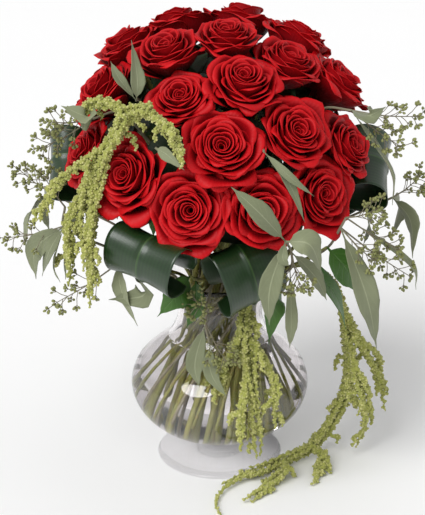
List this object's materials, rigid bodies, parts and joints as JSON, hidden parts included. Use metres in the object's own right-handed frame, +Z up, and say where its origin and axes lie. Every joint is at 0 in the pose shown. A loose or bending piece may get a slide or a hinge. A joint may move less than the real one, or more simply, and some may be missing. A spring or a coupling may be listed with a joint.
{
  "type": "roses in a vase",
  "caption": "Domed bouquet of red roses with trailing amaranthus, seeded eucalyptus and looped leaves, standing in a footed clear glass vase of water.",
  "frame": {"origin": "centre of the vase foot's flat underside, on the table", "axes": "+Z up along the vase's axis; -Y is the front, where the short amaranthus hangs over the bowl; +X is the side of the long rope that trails on the table"},
  "size_m": [0.4013, 0.3734, 0.4562],
  "materials": {
    "clear_glass": "polished",
    "still_water": "polished",
    "rose_petal": "matte",
    "amaranthus_green": "matte",
    "eucalyptus_leaf": "satin",
    "salal_leaf": "satin",
    "aspidistra_leaf": "satin"
  },
  "bodies": {
    "root": {"amaranthus_front": "amaranthus_green", "amaranthus_left": "amaranthus_green", "amaranthus_right": "amaranthus_green", "aspidistra_loop_back_left": "aspidistra_leaf", "aspidistra_loop_back_right": "aspidistra_leaf", "aspidistra_loop_front_left": "aspidistra_leaf", "aspidistra_loop_front_right": "aspidistra_leaf", "aspidistra_loop_left": "aspidistra_leaf", "aspidistra_loop_right": "aspidistra_leaf", "eucalyptus_back": "eucalyptus_leaf", "eucalyptus_centre": "eucalyptus_leaf", "eucalyptus_front": "eucalyptus_leaf", "eucalyptus_front_left": "eucalyptus_leaf", "eucalyptus_front_low": "eucalyptus_leaf", "eucalyptus_left_high": "eucalyptus_leaf", "eucalyptus_left_low": "eucalyptus_leaf", "eucalyptus_mid": "eucalyptus_leaf", "eucalyptus_right_high": "eucalyptus_leaf", "eucalyptus_right_low": "eucalyptus_leaf", "eucalyptus_side_left": "eucalyptus_leaf", "eucalyptus_side_right": "eucalyptus_leaf", "eucalyptus_top": "eucalyptus_leaf", "rose_01": "rose_petal", "rose_02": "rose_petal", "rose_03": "rose_petal", "rose_04": "rose_petal", "rose_05": "rose_petal", "rose_06": "rose_petal", "rose_07": "rose_petal", "rose_08": "rose_petal", "rose_09": "rose_petal", "rose_10": "rose_petal", "rose_11": "rose_petal", "rose_12": "rose_petal", "rose_13": "rose_petal", "rose_14": "rose_petal", "rose_15": "rose_petal", "rose_16": "rose_petal", "rose_17": "rose_petal", "rose_18": "rose_petal", "rose_19": "rose_petal", "rose_20": "rose_petal", "rose_21": "rose_petal", "rose_22": "rose_petal", "rose_23": "rose_petal", "rose_24": "rose_petal", "rose_25": "rose_petal", "rose_26": "rose_petal", "rose_27": "rose_petal", "rose_28": "rose_petal", "rose_29": "rose_petal", "rose_30": "rose_petal", "salal_back": "salal_leaf", "salal_front": "salal_leaf", "salal_right": "salal_leaf", "vase": "clear_glass", "water": "still_water"}
  },
  "joints": []
}
